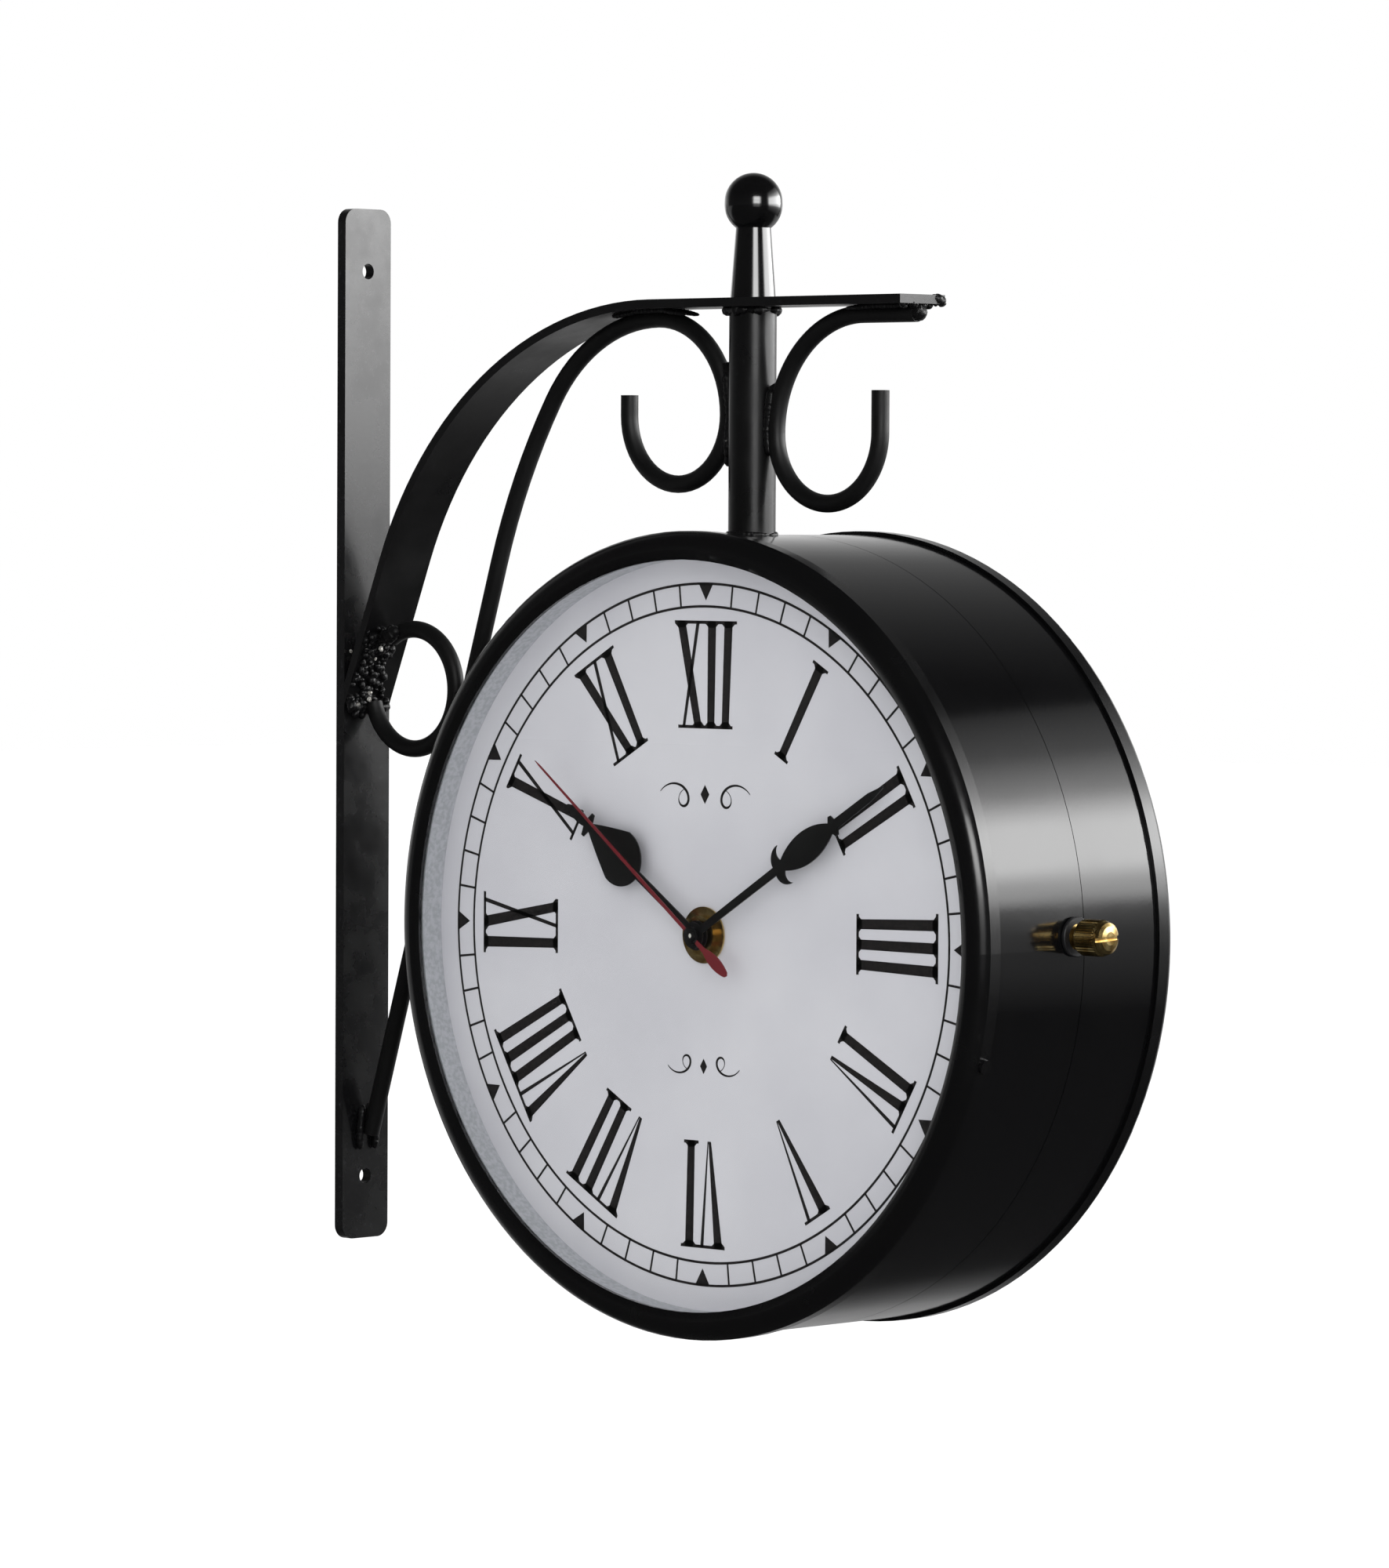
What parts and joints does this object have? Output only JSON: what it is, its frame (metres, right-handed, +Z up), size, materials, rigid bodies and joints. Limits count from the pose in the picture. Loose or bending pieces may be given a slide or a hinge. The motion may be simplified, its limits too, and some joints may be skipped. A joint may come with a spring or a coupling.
{
  "type": "double sided station clock",
  "caption": "Round drum clock with a dial on both sides, hung from a scrolled wall bracket; the rear half swings open for the cells.",
  "frame": {"origin": "on the wall plane, midway between the two screw holes of the wall strap", "axes": "+X away from the wall, front dial faces -Y, +Z up"},
  "size_m": [0.3403, 0.0974, 0.3899],
  "materials": {
    "satin_black_iron": "satin black paint on hand-made mild steel",
    "gloss_black_enamel": "gloss black stove enamel",
    "clear_glass": "clear flat glass",
    "spacer_card": "pale grey card ring",
    "printed_dial": "cool white printed metal dial",
    "black_hand": "black painted sheet",
    "red_hand": "red painted sheet",
    "turned_brass": "polished brass",
    "zinc_steel": "bright zinc plated steel",
    "movement_plastic": "moulded black ABS",
    "wheel_plastic": "natural acetal",
    "cell_sleeve": "plain printed sleeve",
    "nickel_spring": "nickel plated spring sheet",
    "copper_winding": "enamelled copper winding"
  },
  "bodies": {
    "case_front": {"wall_strap": "satin_black_iron", "arch_strap": "satin_black_iron", "long_scroll_rod": "satin_black_iron", "end_scroll_rod": "satin_black_iron", "brace_ring": "satin_black_iron", "pole_tube": "satin_black_iron", "pole_washer": "zinc_steel", "pole_nut": "zinc_steel", "tie_rod": "zinc_steel", "finial": "gloss_black_enamel", "front_shell": "satin_black_iron", "hinge_fixed_leaf": "satin_black_iron", "hinge_pin": "zinc_steel", "front_bezel": "gloss_black_enamel", "front_bezel_screw": "gloss_black_enamel", "front_glass": "clear_glass", "front_spacer": "spacer_card", "front_dial": "printed_dial", "front_movement_case": "movement_plastic", "front_movement_cover": "movement_plastic", "front_cell_contacts": "nickel_spring", "front_drive_coil": "copper_winding", "front_dial_washer": "turned_brass", "front_dial_nut": "turned_brass"},
    "rear_half": {"rear_shell": "satin_black_iron", "lap_ring": "satin_black_iron", "hinge_moving_leaf": "satin_black_iron", "rear_bezel": "gloss_black_enamel", "rear_bezel_screw": "gloss_black_enamel", "rear_glass": "clear_glass", "rear_spacer": "spacer_card", "rear_dial": "printed_dial", "rear_movement_case": "movement_plastic", "rear_movement_cover": "movement_plastic", "rear_cell_contacts": "nickel_spring", "rear_drive_coil": "copper_winding", "rear_dial_washer": "turned_brass", "rear_dial_nut": "turned_brass"},
    "thumb": {"thumb_screw": "turned_brass"},
    "clamp": {"clamp_plate": "turned_brass"},
    "front_seconds": {"front_second_wheel": "wheel_plastic", "front_second_hand": "red_hand"},
    "front_third": {"front_third_wheel": "wheel_plastic"},
    "front_minutes": {"front_centre_wheel": "wheel_plastic", "front_minute_hand": "black_hand"},
    "front_motion": {"front_minute_wheel": "wheel_plastic"},
    "front_hours": {"front_hour_wheel": "wheel_plastic", "front_hour_hand": "black_hand"},
    "front_setting": {"front_setting_wheel": "wheel_plastic"},
    "front_cell_out": {"front_cell": "cell_sleeve"},
    "rear_seconds": {"rear_second_wheel": "wheel_plastic", "rear_second_hand": "red_hand"},
    "rear_third": {"rear_third_wheel": "wheel_plastic"},
    "rear_minutes": {"rear_centre_wheel": "wheel_plastic", "rear_minute_hand": "black_hand"},
    "rear_motion": {"rear_minute_wheel": "wheel_plastic"},
    "rear_hours": {"rear_hour_wheel": "wheel_plastic", "rear_hour_hand": "black_hand"},
    "rear_setting": {"rear_setting_wheel": "wheel_plastic"},
    "rear_cell_out": {"rear_cell": "cell_sleeve"}
  },
  "joints": [
    {"name": "rear_half_swing", "type": "hinge", "parent": "case_front", "child": "rear_half", "pos_m": [0.0526, 0.017, -0.0655], "axis": [0, 0, 1], "range_deg": [0, 85]},
    {"name": "thumb_turn", "type": "hinge", "parent": "case_front", "child": "thumb", "pos_m": [0.3255, 0.012, -0.0615], "axis": [1, 0, 0], "range_deg": [0, 1080]},
    {"name": "clamp_slide", "type": "slide", "parent": "case_front", "child": "clamp", "axis": [-1, 0, 0], "range_m": [0, 0.0024]},
    {"name": "front_seconds_turn", "type": "hinge", "parent": "case_front", "child": "front_seconds", "pos_m": [0.191, 0.014, -0.0655], "axis": [0, 1, 0], "continuous": true},
    {"name": "front_third_turn", "type": "hinge", "parent": "case_front", "child": "front_third", "pos_m": [0.1842, 0.014, -0.0655], "axis": [0, 1, 0], "continuous": true},
    {"name": "front_minutes_turn", "type": "hinge", "parent": "case_front", "child": "front_minutes", "pos_m": [0.191, 0.014, -0.0655], "axis": [0, 1, 0], "continuous": true},
    {"name": "front_motion_turn", "type": "hinge", "parent": "case_front", "child": "front_motion", "pos_m": [0.191, 0.014, -0.0595], "axis": [0, 1, 0], "continuous": true},
    {"name": "front_hours_turn", "type": "hinge", "parent": "case_front", "child": "front_hours", "pos_m": [0.191, 0.014, -0.0655], "axis": [0, 1, 0], "continuous": true},
    {"name": "front_setting_turn", "type": "hinge", "parent": "case_front", "child": "front_setting", "pos_m": [0.191, 0.014, -0.0535], "axis": [0, 1, 0], "continuous": true},
    {"name": "front_cell_slide", "type": "slide", "parent": "case_front", "child": "front_cell_out", "axis": [0, 1, 0], "range_m": [0, 0.016]},
    {"name": "rear_seconds_turn", "type": "hinge", "parent": "rear_half", "child": "rear_seconds", "pos_m": [0.191, 0.014, -0.0655], "axis": [0, -1, 0], "continuous": true},
    {"name": "rear_third_turn", "type": "hinge", "parent": "rear_half", "child": "rear_third", "pos_m": [0.1978, 0.014, -0.0655], "axis": [0, -1, 0], "continuous": true},
    {"name": "rear_minutes_turn", "type": "hinge", "parent": "rear_half", "child": "rear_minutes", "pos_m": [0.191, 0.014, -0.0655], "axis": [0, -1, 0], "continuous": true},
    {"name": "rear_motion_turn", "type": "hinge", "parent": "rear_half", "child": "rear_motion", "pos_m": [0.191, 0.014, -0.0595], "axis": [0, -1, 0], "continuous": true},
    {"name": "rear_hours_turn", "type": "hinge", "parent": "rear_half", "child": "rear_hours", "pos_m": [0.191, 0.014, -0.0655], "axis": [0, -1, 0], "continuous": true},
    {"name": "rear_setting_turn", "type": "hinge", "parent": "rear_half", "child": "rear_setting", "pos_m": [0.191, 0.014, -0.0535], "axis": [0, -1, 0], "continuous": true},
    {"name": "rear_cell_slide", "type": "slide", "parent": "rear_half", "child": "rear_cell_out", "axis": [0, -1, 0], "range_m": [0, 0.016]}
  ],
  "couplings": [
    {"joint": "thumb_turn", "follows": "clamp_slide", "rad_per_m": 7854},
    {"joint": "front_third_turn", "follows": "front_seconds_turn", "ratio": -0.125},
    {"joint": "front_minutes_turn", "follows": "front_seconds_turn", "ratio": 0.016667},
    {"joint": "front_motion_turn", "follows": "front_seconds_turn", "ratio": -0.0055556},
    {"joint": "front_hours_turn", "follows": "front_seconds_turn", "ratio": 0.0013889},
    {"joint": "front_setting_turn", "follows": "front_seconds_turn", "ratio": 0.016667},
    {"joint": "rear_third_turn", "follows": "rear_seconds_turn", "ratio": -0.125},
    {"joint": "rear_minutes_turn", "follows": "rear_seconds_turn", "ratio": 0.016667},
    {"joint": "rear_motion_turn", "follows": "rear_seconds_turn", "ratio": -0.0055556},
    {"joint": "rear_hours_turn", "follows": "rear_seconds_turn", "ratio": 0.0013889},
    {"joint": "rear_setting_turn", "follows": "rear_seconds_turn", "ratio": 0.016667}
  ]
}
